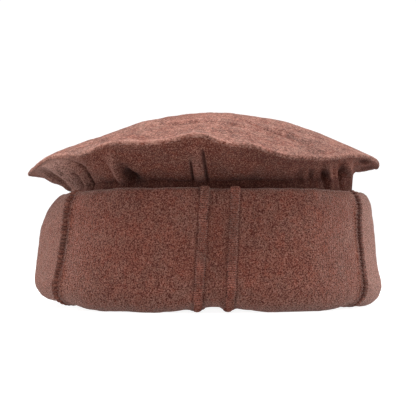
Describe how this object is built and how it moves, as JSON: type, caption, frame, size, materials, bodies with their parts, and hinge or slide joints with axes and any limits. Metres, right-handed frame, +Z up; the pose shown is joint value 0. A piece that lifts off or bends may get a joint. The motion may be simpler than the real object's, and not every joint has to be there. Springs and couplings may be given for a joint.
{
  "type": "pakol cap",
  "caption": "Soft round wool cap with a low domed crown that overhangs a broad turned-up cuff, with corded ribs over the cuff.",
  "frame": {"origin": "centre of the bounding box in plan, at the floor that the cuff's foot rests on", "axes": "+X to the wearer's left, which is the viewer's right from the front, -Y towards the front, +Z up"},
  "size_m": [0.2276, 0.219, 0.1233],
  "materials": {
    "cuff_wool": "matte fulled wool",
    "side_wool": "matte fulled wool",
    "top_wool": "matte fulled wool",
    "rib_front_left_cord": "matte fulled wool",
    "rib_front_right_cord": "matte fulled wool",
    "rib_side_right_cord": "matte fulled wool",
    "rib_rear_right_cord": "matte fulled wool",
    "rib_back_right_cord": "matte fulled wool",
    "rib_back_left_cord": "matte fulled wool",
    "rib_rear_left_cord": "matte fulled wool",
    "rib_side_left_cord": "matte fulled wool"
  },
  "bodies": {
    "root": {"cuff": "cuff_wool", "crown_side": "side_wool", "crown_top": "top_wool", "rib_front_left": "rib_front_left_cord", "rib_front_right": "rib_front_right_cord", "rib_side_right": "rib_side_right_cord", "rib_rear_right": "rib_rear_right_cord", "rib_back_right": "rib_back_right_cord", "rib_back_left": "rib_back_left_cord", "rib_rear_left": "rib_rear_left_cord", "rib_side_left": "rib_side_left_cord"}
  },
  "joints": []
}
